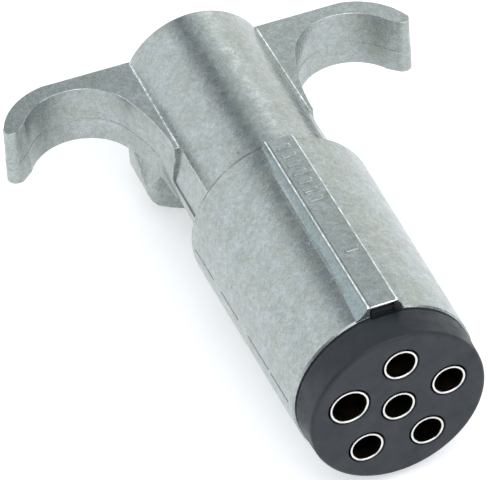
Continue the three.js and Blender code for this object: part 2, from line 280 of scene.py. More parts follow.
def remove(piece):
    """Deletes an object that has done its work."""
    choose(piece)
    bpy.ops.object.delete()


def combine(piece, tool, operation):
    """Joins, cuts or intersects a piece with a tool, which is used up."""
    choose(piece)
    bpy.ops.object.modifier_add(type="BOOLEAN")
    modifier = piece.modifiers[-1]
    modifier.operation = operation
    modifier.solver = "MANIFOLD"
    modifier.object = tool
    before = len(piece.data.vertices)
    bpy.ops.object.modifier_apply(modifier=modifier.name)
    if len(piece.data.vertices) == before:
        raise RuntimeError(f"{tool.name} didn't change {piece.name}")
    remove(tool)
    return piece


def join(piece, *tools):
    """Adds other solids to a piece."""
    for tool in tools:
        combine(piece, tool, "UNION")
    return piece


def cut(piece, *tools):
    """Takes other solids out of a piece."""
    for tool in tools:
        combine(piece, tool, "DIFFERENCE")
    return piece


def rounded(piece, width, segments=3, degrees=35):
    """Rounds every edge sharper than an angle, by a width in millimetres."""
    choose(piece)
    bpy.ops.object.modifier_add(type="BEVEL")
    modifier = piece.modifiers[-1]
    modifier.width = width * MM
    modifier.segments = segments
    modifier.limit_method = "ANGLE"
    modifier.angle_limit = math.radians(degrees)
    bpy.ops.object.modifier_apply(modifier=modifier.name)
    return piece


def trim(piece, place, direction):
    """Cuts off what lies beyond a plane, and closes the cut."""
    choose(piece)
    bpy.ops.object.mode_set(mode="EDIT")
    bpy.ops.mesh.select_all(action="SELECT")
    bpy.ops.mesh.bisect(plane_co=place, plane_no=direction, use_fill=True, clear_outer=True)
    bpy.ops.object.mode_set(mode="OBJECT")
    return piece


def shade(piece, degrees=40):
    """Smooth shading that keeps flat faces flat, broken at edges sharper than this."""
    choose(piece)
    bpy.ops.object.shade_smooth_by_angle(angle=math.radians(degrees))
    bpy.ops.object.modifier_add(type="WEIGHTED_NORMAL")
    modifier = piece.modifiers[-1]
    modifier.keep_sharp = True
    bpy.ops.object.modifier_apply(modifier=modifier.name)
    return piece


def fit(piece, body, nodes, finish):
    """Puts a finished piece on its body, in place of its CAD nodes, with its material."""
    piece.data.materials.clear()
    piece.data.materials.append(finish)
    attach(piece, body)
    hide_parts(*nodes)
    return piece


def arc(part):
    """Places along an arc in X and Y, both ends included."""
    (x, y), radius, steps = part["centre"], part["radius"], part["steps"]
    turn = part["end"] - part["start"]
    angles = [part["start"] + turn * step / steps for step in range(steps + 1)]
    return [(x + radius * math.cos(a), y + radius * math.sin(a)) for a in angles]


def curve(start, near, far, end, steps):
    """Places along a Bezier curve between two ends, the last one left out."""
    ends = [Vector(p) for p in (start, near, far, end)]
    places = []
    for step in range(steps):
        t = step / steps
        u = 1 - t
        weights = (u**3, 3 * u * u * t, 3 * u * t * t, t**3)
        places.append(tuple(sum((w * p for w, p in zip(weights, ends)), Vector((0, 0)))))
    return places


# ---- Materials ----


class Finish:
    """A material with a Principled shader, and short ways of wiring textures on Object coordinates."""

    def __init__(self, name, colour, roughness, metallic=0.0):
        self.material = bpy.data.materials.new(name)
        self.material.use_nodes = True
        self.nodes = self.material.node_tree.nodes
        self.links = self.material.node_tree.links
        self.shader = self.nodes["Principled BSDF"]
        self.shader.inputs["Base Color"].default_value = colour
        self.shader.inputs["Roughness"].default_value = roughness
        self.shader.inputs["Metallic"].default_value = metallic
        self.place = self.nodes.new("ShaderNodeTexCoord").outputs["Object"]

    def noise(self, scale, detail=4, roughness=0.55, distortion=0.0, place=None):
        node = self.nodes.new("ShaderNodeTexNoise")
        node.inputs["Scale"].default_value = scale
        node.inputs["Detail"].default_value = detail
        node.inputs["Roughness"].default_value = roughness
        node.inputs["Distortion"].default_value = distortion
        self.links.new(place or self.place, node.inputs["Vector"])
        return node.outputs["Fac"]

    def cells(self, scale, randomness=1.0):
        node = self.nodes.new("ShaderNodeTexVoronoi")
        node.inputs["Scale"].default_value = scale
        node.inputs["Randomness"].default_value = randomness
        self.links.new(self.place, node.inputs["Vector"])
        return node.outputs["Distance"]

    def stretched(self, scale):
        node = self.nodes.new("ShaderNodeMapping")
        node.inputs["Scale"].default_value = scale
        self.links.new(self.place, node.inputs["Vector"])
        return node.outputs["Vector"]

    def spread(self, value, low, high, to_low=0.0, to_high=1.0):
        node = self.nodes.new("ShaderNodeMapRange")
        node.inputs["From Min"].default_value = low
        node.inputs["From Max"].default_value = high
        node.inputs["To Min"].default_value = to_low
        node.inputs["To Max"].default_value = to_high
        self.links.new(value, node.inputs["Value"])
        return node.outputs["Result"]

    def feed(self, socket, value):
        """Links another node's output to a socket, or sets the socket to a plain value."""
        if isinstance(value, bpy.types.NodeSocket):
            self.links.new(value, socket)
        else:
            socket.default_value = value

    def maths(self, operation, first, second):
        node = self.nodes.new("ShaderNodeMath")
        node.operation = operation
        for socket, value in zip(node.inputs, (first, second)):
            self.feed(socket, value)
        return node.outputs["Value"]

    def mix(self, share, first, second, blend="MIX"):
        node = self.nodes.new("ShaderNodeMix")
        node.data_type = "RGBA"
        node.blend_type = blend
        colours = [socket for socket in node.inputs if socket.type == "RGBA"]
        for socket, value in zip((node.inputs["Factor"], *colours), (share, first, second)):
            self.feed(socket, value)
        return next(socket for socket in node.outputs if socket.type == "RGBA")

    def colour(self, value):
        self.links.new(value, self.shader.inputs["Base Color"])

    def roughness(self, value):
        self.links.new(value, self.shader.inputs["Roughness"])

    def relief(self, *layers):
        """Bumps laid over each other, from (height, strength, distance in millimetres) groups."""
        normal = None
        for height, strength, distance in layers:
            bump = self.nodes.new("ShaderNodeBump")
            bump.inputs["Strength"].default_value = strength
            bump.inputs["Distance"].default_value = distance * MM
            self.links.new(height, bump.inputs["Height"])
            if normal:
                self.links.new(normal, bump.inputs["Normal"])
            normal = bump.outputs["Normal"]
        self.links.new(normal, self.shader.inputs["Normal"])


def zinc_skin(name, tint):
    """As-cast zinc: mottled grey-green and lilac patches, fine grain, small pits and dark specks."""
    colours = bpy.context.scene.plug_colours
    finish = Finish(name, colours.zinc, 0.4, 0.85)
    clouds = finish.spread(finish.noise(230, 5, 0.6, 0.4), 0.40, 0.66, 0, 0.5)
    colour = finish.mix(clouds, tuple(colours.zinc), tuple(colours.zinc_bloom))
    stain = finish.spread(finish.noise(420, 6, 0.7, 0.8), 0.42, 0.72, 0, 0.6)
    colour = finish.mix(stain, colour, (0.35, 0.375, 0.30, 1))
    mottle = finish.spread(finish.noise(1100, 6, 0.75, 0.3), 0.35, 0.65, 0.80, 1.10)
    grain = finish.spread(finish.noise(3200, 3, 0.6), 0.35, 0.65, 0.88, 1.08)
    colour = finish.mix(1.0, colour, mottle, "MULTIPLY")
    colour = finish.mix(1.0, colour, grain, "MULTIPLY")
    spots = finish.spread(finish.cells(420), 0.05, 0.13, 1, 0)
    rare = finish.spread(finish.noise(160, 2), 0.56, 0.62)
    pits = finish.maths("MULTIPLY", spots, rare)
    colour = finish.mix(finish.maths("MULTIPLY", pits, 0.55), colour, (0.2, 0.2, 0.19, 1))
    finish.colour(finish.mix(1.0, colour, tint, "MULTIPLY"))
    finish.roughness(finish.spread(finish.noise(420, 6, 0.7), 0.35, 0.65, 0.19, 0.34))
    finish.relief(
        (finish.noise(150, 3, 0.5), 0.28, 0.3),
        (finish.noise(1100, 5, 0.7), 0.5, 0.07),
        (finish.maths("MULTIPLY", pits, -1.0), 0.5, 0.12),
    )
    return finish.material


def cast_zinc():
    """The casting's open faces."""
    return zinc_skin("cast_zinc", (1, 1, 1, 1))


def flank_shade_zinc():
    """Painted shade: a darker, bluer copy of the zinc for the key rib's steep flanks, standing in for the
    dark band along them.
    """
    return zinc_skin("flank_shade_zinc", (0.70, 0.78, 0.81, 1))


def highlight_zinc():
    """Painted highlight: a brighter, glossier copy of the zinc for the lips, the bars' slopes and the wings'
    upper edges.
    """
    finish = Finish("highlight_zinc", (0.8, 0.82, 0.82, 1), 0.22, 0.9)
    painted_light = finish.spread(finish.noise(700, 4, 0.6), 0.35, 0.62)
    finish.colour(finish.mix(painted_light, (0.46, 0.5, 0.5, 1), (0.86, 0.88, 0.88, 1)))
    finish.roughness(finish.spread(painted_light, 0.0, 1.0, 0.34, 0.18))
    finish.relief((finish.noise(1300, 3), 0.25, 0.04))
    return finish.material


def core_rubber():
    """Hard moulded rubber, with a dull bloom, faint flow marks and light dust."""
    colours = bpy.context.scene.plug_colours
    finish = Finish("core_rubber", colours.rubber, 0.5)
    finish.shader.inputs["Specular IOR Level"].default_value = 0.36
    clouds = finish.spread(finish.noise(150, 5, 0.6), 0.3, 0.7, 0.8, 1.35)
    colour = finish.mix(1.0, tuple(colours.rubber), clouds, "MULTIPLY")
    dust = finish.spread(finish.cells(900), 0.03, 0.08, 0.5, 0)
    some = finish.spread(finish.noise(260, 3), 0.55, 0.68)
    colour = finish.mix(finish.maths("MULTIPLY", dust, some), colour, (0.28, 0.3, 0.33, 1))
    finish.colour(colour)
    finish.roughness(finish.spread(finish.noise(420, 4), 0.3, 0.7, 0.38, 0.62))
    finish.relief((finish.noise(1600, 4, 0.6), 0.25, 0.05), (finish.noise(160, 2), 0.3, 0.12))
    return finish.material


def torn_rubber():
    """The blacker, rougher rubber where the mould was filled."""
    finish = Finish("torn_rubber", (0.008, 0.009, 0.01, 1), 0.6)
    finish.shader.inputs["Specular IOR Level"].default_value = 0.25
    ragged = finish.noise(900, 5, 0.7)
    finish.colour(finish.mix(ragged, (0.004, 0.004, 0.005, 1), (0.016, 0.018, 0.02, 1)))
    finish.roughness(finish.spread(ragged, 0.3, 0.7, 0.45, 0.75))
    finish.relief((ragged, 0.7, 0.15))
    return finish.material


def plated_brass():
    """Bright tin-plated brass with fine turning marks round the ring and a faint tarnish."""
    colours = bpy.context.scene.plug_colours
    finish = Finish("plated_brass", colours.brass, 0.22, 1.0)
    tarnish = finish.spread(finish.noise(380, 5, 0.6), 0.45, 0.75, 0, 0.45)
    colour = finish.mix(tarnish, tuple(colours.brass), (0.60, 0.55, 0.44, 1))
    finish.colour(colour)
    finish.roughness(finish.spread(finish.noise(700, 4), 0.3, 0.7, 0.14, 0.34))
    marks = finish.noise(1.0, 3, 0.6, place=finish.stretched((300, 9000, 300)))
    finish.relief((marks, 0.12, 0.03))
    return finish.material


def socket_shade():
    """Painted shade: brown-black brass for the deep insides of the sockets."""
    finish = Finish("socket_shade", (0.016, 0.014, 0.011, 1), 0.36, 0.8)
    tint = finish.spread(finish.noise(500, 4), 0.4, 0.7)
    finish.colour(finish.mix(tint, (0.008, 0.009, 0.008, 1), (0.04, 0.026, 0.018, 1)))
    finish.relief((finish.noise(1500, 3), 0.3, 0.04))
    return finish.material


def screw_steel():
    """Zinc-plated steel, bright, with fine streaks and a faint iridescent dullness."""
    colours = bpy.context.scene.plug_colours
    finish = Finish("screw_steel", colours.steel, 0.28, 1.0)
    veil = finish.spread(finish.noise(300, 5, 0.6), 0.35, 0.7)
    finish.colour(finish.mix(veil, tuple(colours.steel), (0.66, 0.63, 0.55, 1)))
    finish.roughness(finish.spread(finish.noise(650, 4), 0.3, 0.7, 0.2, 0.42))
    finish.relief((finish.noise(1.0, 3, 0.6, place=finish.stretched((900, 900, 9000))), 0.12, 0.03))
    return finish.material


def liner_fibre():
    """Brown-black vulcanised fibre sheet with a fine felted grain."""
    finish = Finish("liner_fibre", (0.03, 0.024, 0.018, 1), 0.75)
    felt = finish.spread(finish.noise(700, 6, 0.7), 0.3, 0.7)
    finish.colour(finish.mix(felt, (0.018, 0.014, 0.011, 1), (0.05, 0.04, 0.03, 1)))
    finish.roughness(finish.spread(felt, 0.0, 1.0, 0.65, 0.9))
    finish.relief((felt, 0.3, 0.05))
    return finish.material


def grommet_rubber():
    """Soft black rubber, matt, with a grey bloom and fine grain."""
    finish = Finish("grommet_rubber", (0.012, 0.012, 0.013, 1), 0.7)
    bloom = finish.spread(finish.noise(240, 5, 0.6), 0.4, 0.75)
    finish.colour(finish.mix(bloom, (0.011, 0.011, 0.012, 1), (0.035, 0.036, 0.038, 1)))
    finish.roughness(finish.spread(finish.noise(520, 4), 0.3, 0.7, 0.55, 0.8))
    finish.relief((finish.noise(1400, 4), 0.3, 0.05))
    return finish.material


def floor_paper():
    """White studio paper with a barely visible tooth."""
    finish = Finish("floor_paper", (0.86, 0.86, 0.86, 1), 0.9)
    tooth = finish.spread(finish.noise(60, 3), 0.3, 0.7)
    finish.colour(finish.mix(tooth, (0.85, 0.85, 0.85, 1), (0.87, 0.87, 0.87, 1)))
    finish.shader.inputs["Emission Color"].default_value = (0.97, 0.98, 1, 1)
    finish.shader.inputs["Emission Strength"].default_value = 0.42
    return finish.material


FINISHES = {}


def finish_of(maker):
    """A finish from its maker above, made when it is first asked for."""
    if maker not in FINISHES:
        FINISHES[maker] = maker()
    return FINISHES[maker]


# ---- The shell ----


def barrel_radius(y):
    """The barrel's outer radius at a distance from the front rim."""
    return RIM_RADIUS + (BARREL_REAR_RADIUS - RIM_RADIUS) * y / BARREL_LENGTH


def around(corner, radius, y):
    """A rounded corner's points, from its steps and the place of the sharp corner."""
    return [(radius + out, y + back) for out, back in corner]


def shell_blank():
    """The barrel and the neck, without their bores."""
    return turned("cast_shell", [
        (0, 0), (RIM_RADIUS - RIM_CHAMFER, 0), (RIM_RADIUS, RIM_CHAMFER),
        *around(BARREL_BACK, BARREL_REAR_RADIUS, BARREL_LENGTH),
        *around(NECK_FRONT, NECK_RADIUS, NECK_START),
        *around(NECK_BACK, NECK_RADIUS, REAR), (0, REAR),
    ], segments=192)


def lip(edge, inward, groove):
    """A lip's outline, from the rib's edge to the sunken top, where inward is 1 or -1 along X."""
    width = bpy.context.scene.plug_sizes.lip_width / MM
    ground = TOP - LIP_HEIGHT
    bottom = ground - groove["depth"]
    end = width + groove["width"]
    steps = [
        (0, TOP - LIP_EDGE), (LIP_EDGE, TOP), (width - LIP_EDGE, TOP), (width, TOP - LIP_EDGE),
        (width + LIP_SLANT, bottom), (end, bottom), (end + GROOVE_SLANT, ground),
    ]
    return [(edge + inward * step, z) for step, z in steps]


def rib_blank():
    """The key rib, with a raised lip along each side of its sunken top and a chamfered front edge."""
    left = lip(RIB_EDGES["left"], 1, LEFT_GROOVE)
    right = lip(RIB_EDGES["right"], -1, RIGHT_GROOVE)
    section = [*reversed(right), *RIB_RIGHT_FLANK, *reversed(RIB_LEFT_FLANK), *left]
    rib = prism("key_rib", [at(x, RIB_START, z) for x, z in section], (0, RIB_LENGTH * MM, 0))
    slope = TOP - LIP_HEIGHT - RIB_CHAMFER
    front, back, half = RIB_WEDGE["front"], RIB_WEDGE["back"], RIB_WEDGE["half_width"]
    corner = [at(-half, y, slope + rise) for y, rise in ((front, front), (back, back), (front, back))]
    return cut(rib, prism("chamfer", corner, (2 * half * MM, 0, 0)))


def wing_outline():
    """A wing seen from above, largest at its underside, counter-clockwise from inside the neck."""
    hook = list(reversed(arc(HOOK)))
    back = BACK["centre"][1] + BACK["radius"]
    web = curve(ROOT, *WEB, hook[0], WEB_STEPS)
    return [(WING_INSIDE, back), (WING_INSIDE, ROOT[1]), *web, *hook, *arc(TIP), *arc(BACK)]


def wing_blank(side):
    """One finger wing, tapered upwards as it leaves the mould."""
    piece = filled([at(side * x, y, WING_BOTTOM) for x, y in wing_outline()])
    piece.update_from_editmode()
    if piece.data.polygons[0].normal.z < 0:
        bpy.ops.mesh.flip_normals()
    for narrowing, rise in WING_STEPS:
        bpy.ops.mesh.inset(thickness=narrowing * MM, depth=rise * MM, use_even_offset=True)
    bpy.ops.mesh.select_all(action="DESELECT")
    bpy.ops.mesh.select_mode(type="EDGE")
    bpy.ops.mesh.select_non_manifold()
    bpy.ops.mesh.edge_face_add()
    bpy.ops.mesh.select_mode(type="VERT")
    close_up()
    trim(settle(piece, "wing"), at(0, REAR - WING_SETBACK, 0), (0, 1, 0))
    return rounded(piece, bpy.context.scene.plug_sizes.edge / MM, segments=1)


def root_seam(side):
    """The thin bead where a wing's top runs into the neck."""
    start = ROOT[1] + SEAM_INSET
    length = REAR - ROOT[1] - 2 * SEAM_INSET
    return prism("seam", [at(side * x, start, z) for x, z in SEAM], (0, length * MM, 0))


def neck_flat(side):
    """What is cut from the neck in front of a wing."""
    length = ROOT[1] - FLAT_START
    return prism("neck_flat", [at(side * x, FLAT_START, z) for x, z in FLAT], (0, length * MM, 0))


def rib_details():
    """The plain raised bars on top of the key rib, and the small mark in front of them."""
    height = bpy.context.scene.plug_sizes.bar_height / MM
    ground = TOP - LIP_HEIGHT
    low, high = ground - BAR_FOOT, ground + height
    for start in BARS["starts"]:
        end = start + BARS["length"]
        yield block("bar", (BARS["left"], start, low), (BARS["right"], end, high), BAR_BEVEL)
    yield block("mark", (MARK["left"], MARK["front"], low), (MARK["right"], MARK["back"], high), BAR_BEVEL)


def parting_ridges():
    """Thin broken ridges at mid height along the barrel's sides."""
    height = bpy.context.scene.plug_sizes.parting / MM
    for side in (-1, 1):
        for start, end in RIDGES:
            front, back = barrel_radius(start) + height, barrel_radius(end) + height
            section = ((front, start), (back, end), (back - 1, end), (front - 1, start))
            outline = [at(side * x, y, -RIDGE_WIDTH / 2) for x, y in section]
            yield prism("ridge", outline, (0, 0, RIDGE_WIDTH * MM))


def bore():
    """The stepped bore right through the shell."""
    core, cable = CORE_BORE["radius"], CABLE_BORE["radius"]
    core_mouth, cable_mouth = core + CORE_BORE["mouth"], cable + CABLE_BORE["mouth"]
    return turned("bore", [
        (0, -PAST), (core_mouth, -PAST), (core_mouth, 0), (core, CORE_BORE["mouth_depth"]),
        (core, CORE_BORE["depth"]), (CHAMBER["radius"], CORE_BORE["depth"]),
        (CHAMBER["radius"], CHAMBER["depth"]), (cable, CABLE_BORE["start"]),
        (cable, REAR - CABLE_BORE["mouth"]), (cable_mouth, REAR), (cable_mouth, REAR + PAST),
        (0, REAR + PAST),
    ], segments=128)


def keyway():
    """The slot under the rib that takes the core's key."""
    half = KEYWAY["half_width"]
    return block("keyway", (-half, -PAST, KEYWAY["bottom"]), (half, KEYWAY["length"], KEYWAY["top"]))


def window():
    """The room for the clamp cap, cut up through the neck to the wings' underside."""
    half = WINDOW["half_width"]
    return block("window", (-half, WINDOW["front"], -half), (half, WINDOW["back"], WING_BOTTOM))


def takes_painted_highlight(place, upwards):
    """Whether a face of the shell takes the painted highlight: on a lip, a raised bar's slope or a wing's
    upper edge.
    """
    out, slopes = abs(place.x), SLOPE[0] < upwards < SLOPE[1]
    on_lip = LIP_ZONE[0] < out < LIP_ZONE[1] and place.z > TOP - LIP_EDGE
    on_bar = out < BAR_ZONE and place.z > TOP - LIP_HEIGHT
    by_wing = place.y > ROOT[1] and out > WING_ZONE["inside"]
    on_wing = by_wing and abs(place.z - WING_TOP) < WING_ZONE["depth"]
    return on_lip or slopes and (on_bar or on_wing)


def takes_painted_shade(place, sideways):
    """Whether a face of the shell is on one of the key rib's flanks, which take the painted shade."""
    beside = FLANK_ZONE["inside"] < abs(place.x) < FLANK_ZONE["outside"]
    return beside and FLANK_ZONE["bottom"] < place.z < TOP and abs(sideways) > FLANK_ZONE["sideways"]


class PLUG_OT_shell(bpy.types.Operator):
    """Model the die-cast shell with its key rib and finger wings"""

    bl_idname = "plug.shell"
    bl_label = "Cast Shell"

    def execute(self, context):
        shell = cut(shell_blank(), neck_flat(1), neck_flat(-1))
        join(shell, rib_blank(), wing_blank(1), wing_blank(-1))
        cut(shell, window())
        join(shell, *rib_details(), *parting_ridges(), root_seam(1), root_seam(-1))
        cut(shell, bore(), keyway(), retainer_hole(), *clamp_holes())
        shade(shell, 38)
        fit(shell, "plug_body", ["shell"], finish_of(cast_zinc))
        self.painted_light(shell)
        return {"FINISHED"}

    def painted_light(self, shell):
        """Gives the lips, the bars' slopes and the wings' upper edges a painted highlight, and the rib's
        flanks a painted shade.
        """
        shell.data.materials.append(finish_of(highlight_zinc))
        shell.data.materials.append(finish_of(flank_shade_zinc))
        for face in shell.data.polygons:
            place = (face.center - ORIGIN) / MM
            # painted highlight on the lips, the bars' slopes and the wings' upper edges
            if takes_painted_highlight(place, face.normal.z):
                face.material_index = 1
            # painted shade on the key rib's flanks
            elif takes_painted_shade(place, face.normal.x):
                face.material_index = 2


# ---- Screws ----

RETAINER = {"y": 12, "radius": 1.5, "head": 2.7, "height": 1.3, "tip": -10.6, "inside": -10}
RETAINER_SLOT = {"width": 0.6, "depth": 0.8}
CLAMP_SCREW = {"x": 12.1, "y": 74.8, "radius": 1.5, "tip": 3, "head": 2.5, "height": 1.9}
CLAMP_SLOT = {"width": 0.7, "depth": 0.9}
GRUB = {"radius": 1.2, "tip": 1.2, "threads": 1.5, "slot_floor": 2.6, "slot_width": 0.5, "top": 3.3}
THREAD = {"root": 0.82, "rise": 0.4, "fall": 0.55, "end": 0.8, "point": 0.55}  # shares of radius and pitch
SLOT_REACH = 4
SPOTFACE = -10.8
CLEARANCE = 0.3
WASHER_EDGE = 0.08
WASHER_GAP = {"near": 1, "width": 0.35, "slant": 0.4, "length": 4}


def thread(radius, start, end):
    """A screw thread's saw-toothed outline from start to end, in (radius, distance) pairs."""
    pitch = bpy.context.scene.plug_sizes.thread_pitch / MM
    count = int((end - start) / pitch)
    root, rise, fall = radius * THREAD["root"], pitch * THREAD["rise"], pitch * THREAD["fall"]
    outline = []
    for turn in range(count):
        foot = start + turn * pitch
        outline += [(root, foot), (radius, foot + rise), (radius, foot + fall)]
    return [*outline, (radius * THREAD["end"], start + count * pitch), (radius * THREAD["point"], end)]


def slot(x, y, face, size):
    """What a screwdriver slot along X takes from the underside of a screw's head."""
    half, top = size["width"] / 2, face + size["depth"]
    return block("slot", (x - SLOT_REACH, y - half, face - 1), (x + SLOT_REACH, y + half, top))


def retainer_hole():
    """The hole and countersink for the screw under the barrel."""
    surface = -barrel_radius(RETAINER["y"])
    wide, narrow = RETAINER["head"] + CLEARANCE, RETAINER["radius"] + CLEARANCE
    return turned("hole", [
        (0, surface - PAST), (wide, surface - PAST), (wide, surface + 0.1),
        (narrow, surface + RETAINER["height"] + CLEARANCE), (narrow, RETAINER["inside"]),
        (0, RETAINER["inside"]),
    ], centre=(0, RETAINER["y"]), along="Z", segments=48)


def clamp_holes():
    """The two tapped holes that the clamp screws go up into."""
    radius, tip = CLAMP_SCREW["radius"] + CLEARANCE, CLAMP_SCREW["tip"]
    for side in (-1, 1):
        yield turned("hole", [(0, BELOW), (radius, BELOW), (radius, tip + 0.4), (0, tip + 1)],
                     centre=(side * CLAMP_SCREW["x"], CLAMP_SCREW["y"]), along="Z", segments=40)


class PLUG_OT_retainer(bpy.types.Operator):
    """Model the countersunk slotted screw that holds the core"""

    bl_idname = "plug.retainer"
    bl_label = "Core Screw"

    def execute(self, context):
        low = measured("core_retaining_screw")[0].z
        neck = low + RETAINER["height"]
        head, shank, tip, y = RETAINER["head"], RETAINER["radius"], RETAINER["tip"], RETAINER["y"]
        piece = turned("core_screw", [
            (0, low), (head - 0.1, low), (head, low + 0.12), (shank + 0.05, neck),
            *thread(shank, neck + 0.1, tip - 0.1), (0, tip),
        ], centre=(0, y), along="Z", segments=48)
        cut(piece, slot(0, y, low, RETAINER_SLOT))
        shade(piece, 30)
        fit(piece, "retainer", ["core_retaining_screw"], finish_of(screw_steel))
        return {"FINISHED"}


class PLUG_OT_clamp_screws(bpy.types.Operator):
    """Model the two slotted pan-head clamp screws and their split lock washers"""

    bl_idname = "plug.clamp_screws"
    bl_label = "Clamp Screws"

    def execute(self, context):
        for side, hand in ((-1, "left"), (1, "right")):
            self.screw(side, hand)
            self.washer(side, hand)
        return {"FINISHED"}

    def screw(self, side, hand):
        low = measured(f"clamp_screw_{hand}")[0].z
        top = low + CLAMP_SCREW["height"]
        head, shank, tip = CLAMP_SCREW["head"], CLAMP_SCREW["radius"], CLAMP_SCREW["tip"]
        x, y = side * CLAMP_SCREW["x"], CLAMP_SCREW["y"]
        piece = turned(f"pan_screw_{hand}", [
            (0, low), (head * 0.55, low), (head * 0.82, low + 0.18), (head * 0.96, low + 0.55),
            (head, low + 1.05), (head, top - 0.15), (head - 0.15, top), (shank, top), (shank, top + 1),
            *thread(shank, top + 1.1, tip - 0.1), (0, tip),
        ], centre=(x, y), along="Z", segments=56)
        cut(piece, slot(x, y, low, CLAMP_SLOT))
        self.finish(piece, hand, f"clamp_screw_{hand}")

    def washer(self, side, hand):
        low, high = (corner.z for corner in measured(f"clamp_lock_washer_{hand}"))
        inner, outer = CLAMP_SCREW["radius"] + CLEARANCE, CLAMP_SCREW["head"]
        x, y = side * CLAMP_SCREW["x"], CLAMP_SCREW["y"]
        edge = WASHER_EDGE
        piece = ring(f"split_washer_{hand}", [
            (inner, low + edge), (inner + edge, low), (outer - edge, low), (outer, low + edge),
            (outer, high - edge), (outer - edge, high), (inner + edge, high), (inner, high - edge),
        ], centre=(x, y), along="Z", segments=56)
        near, far = x + WASHER_GAP["near"], x + WASHER_GAP["near"] + WASHER_GAP["width"]
        slant = WASHER_GAP["slant"]
        gap = ((near, low - 1), (far, low - 1), (far + slant, high + 1), (near + slant, high + 1))
        tool = prism("gap", [at(gap_x, y, z) for gap_x, z in gap], (0, -WASHER_GAP["length"] * MM, 0))
        self.finish(cut(piece, tool), hand, f"clamp_lock_washer_{hand}")

    def finish(self, piece, hand, node):
        shade(piece, 30)
        fit(piece, f"clamp_fastener_{hand}", [node], finish_of(screw_steel))


# ---- The core and its sockets ----

# The core's rounded nose and the bead behind it, as (radius, distance) pairs.
CORE_NOSE = [(14.7, FACE), (15.05, FACE + 0.08), (15.28, FACE + 0.27), (15.38, FACE + 0.55)]
CORE_BEAD = [(15.62, -1.3), (15.68, -1.15), (15.68, -0.75), (15.6, -0.6), (15.55, -0.3)]
CORE_SEAT = -0.3  # where the core's nose ends, just in front of the shell's rim
CORE_EDGE = 0.4
KEY = {"front": -0.6, "bottom": 11, "gap": 0.2, "bevel": 0.12}
LUMP = {"place": (2.35, -0.85, 16.8), "radius": 0.85, "shape": (0.9, 0.7, 1.1), "roughness": 0.07, "seed": 4}
TORN_HEIGHT = RIM_RADIUS - 0.2

# How many fifths of a turn from the top each terminal's binding screw points.
SOCKETS = {"centre": 2.5, "top": 0, "right_upper": 1, "right_lower": 2, "left_lower": 3, "ground": 4}
SOCKET_TWIST = 3
SOCKET_TURN = 72  # a fifth of a turn, in degrees
SOCKET_GAP = 0.3
TUBE = {"radius": 2.93, "wall": 0.42, "depth": 19.4, "cone": 0.6, "skin": 0.015}
OTHER_TUBES = {"centre": 2.85, "ground": 3.38}
COLLAR = {"radius": 3.55, "start": 26, "end": 27.4, "edge": 0.1}
WIRE_BARREL = {"radius": 3.3, "end": 38, "hole": 1.9, "depth": 9, "edge": 0.2}
BINDING = {"y": 33.5, "hole": 1.5}


def socket_place(name):
    """A socket's centre in X and Z, and its tube's outer radius."""
    low, high = measured(f"terminal_{name}")
    return (low.x + high.x) / 2, (low.z + high.z) / 2, OTHER_TUBES.get(name, TUBE["radius"])


def socket_angle(name):
    """How far a terminal's binding screw is turned from pointing up."""
    return math.radians(SOCKET_TWIST + SOCKET_TURN * SOCKETS[name])


def mould_lump():
    """The stub of rubber left at the key's right corner, where the mould was filled."""
    deselect()
    radius = LUMP["radius"] * MM
    bpy.ops.mesh.primitive_ico_sphere_add(subdivisions=3, radius=radius, location=at(*LUMP["place"]))
    lump = bpy.context.object
    lump.scale = LUMP["shape"]
    settle(lump, "lump")
    bpy.ops.object.mode_set(mode="EDIT")
    bpy.ops.mesh.select_all(action="SELECT")
    bpy.ops.transform.vertex_random(offset=LUMP["roughness"] * MM, seed=LUMP["seed"])
    bpy.ops.object.mode_set(mode="OBJECT")
    return lump


def key_block():
    """The core's key, which the shell's keyway takes."""
    half, top = KEYWAY["half_width"] - KEY["gap"], KEYWAY["top"] - KEY["gap"]
    low, high = (-half, KEY["front"], KEY["bottom"]), (half, KEYWAY["length"] - 1, top)
    return block("key", low, high, KEY["bevel"])


def socket_hole(name, back):
    """A socket's hole through the core, a little wider at its mouth."""
    x, z, tube = socket_place(name)
    radius = tube + SOCKET_GAP
    mouth = radius + 0.12
    return turned("hole", [
        (0, FACE - 1), (mouth, FACE - 1), (mouth, FACE), (radius, FACE + 0.15), (radius, back + 1),
        (0, back + 1),
    ], centre=(x, z), segments=64)


def retainer_pocket():
    """The blind hole in the core that its screw goes up into."""
    radius, tip = RETAINER["radius"] + CLEARANCE, RETAINER["tip"] + CLEARANCE
    return turned("hole", [(0, BELOW), (radius, BELOW), (radius, tip), (0, tip + 0.5)],
                  centre=(0, RETAINER["y"]), along="Z", segments=40)


class PLUG_OT_core(bpy.types.Operator):
    """Model the moulded core with its key and six socket holes"""

    bl_idname = "plug.core"
    bl_label = "Moulded Core"

    def execute(self, context):
        back = measured("core")[1].y
        wide = CORE_BORE["radius"] - CLEARANCE
        core = turned("moulded_core", [
            (0, FACE), *CORE_NOSE, *CORE_BEAD, (wide, CORE_SEAT), (wide, back - CORE_EDGE),
            (wide - CORE_EDGE, back), (0, back),
        ], segments=128)
        join(core, key_block(), mould_lump())
        cut(core, *[socket_hole(name, back) for name in SOCKETS], retainer_pocket())
        shade(core, 35)
        fit(core, "plug_body", ["core"], finish_of(core_rubber))
        self.roughen(core)
        return {"FINISHED"}

    def roughen(self, core):
        """Gives the key and the lump their torn, blacker skin."""
        core.data.materials.append(finish_of(torn_rubber))
        edge = at(0, 0, TORN_HEIGHT).z
        for face in core.data.polygons:
            if face.center.z > edge:
                face.material_index = 1


